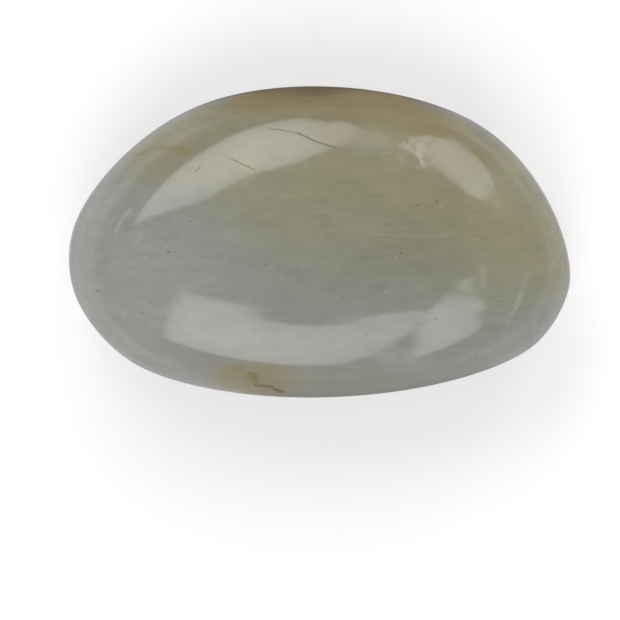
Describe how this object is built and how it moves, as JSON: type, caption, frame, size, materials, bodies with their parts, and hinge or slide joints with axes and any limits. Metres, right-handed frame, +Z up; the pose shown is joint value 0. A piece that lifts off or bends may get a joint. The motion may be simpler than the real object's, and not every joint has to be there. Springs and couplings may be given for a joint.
{
  "type": "tumbled stone",
  "caption": "Polished oval pebble of grey-green stone with an olive-tan side, lying on a small worn flat.",
  "frame": {"origin": "middle of the stone's bounding box, on the surface it rests on", "axes": "+X along the length, towards the tight corner end; +Y across, towards the more arched side; +Z up"},
  "size_m": [0.027, 0.0167, 0.0101],
  "materials": {
    "polished_stone": "tumbled and polished to a gloss"
  },
  "bodies": {
    "root": {"stone": "polished_stone"}
  },
  "joints": []
}
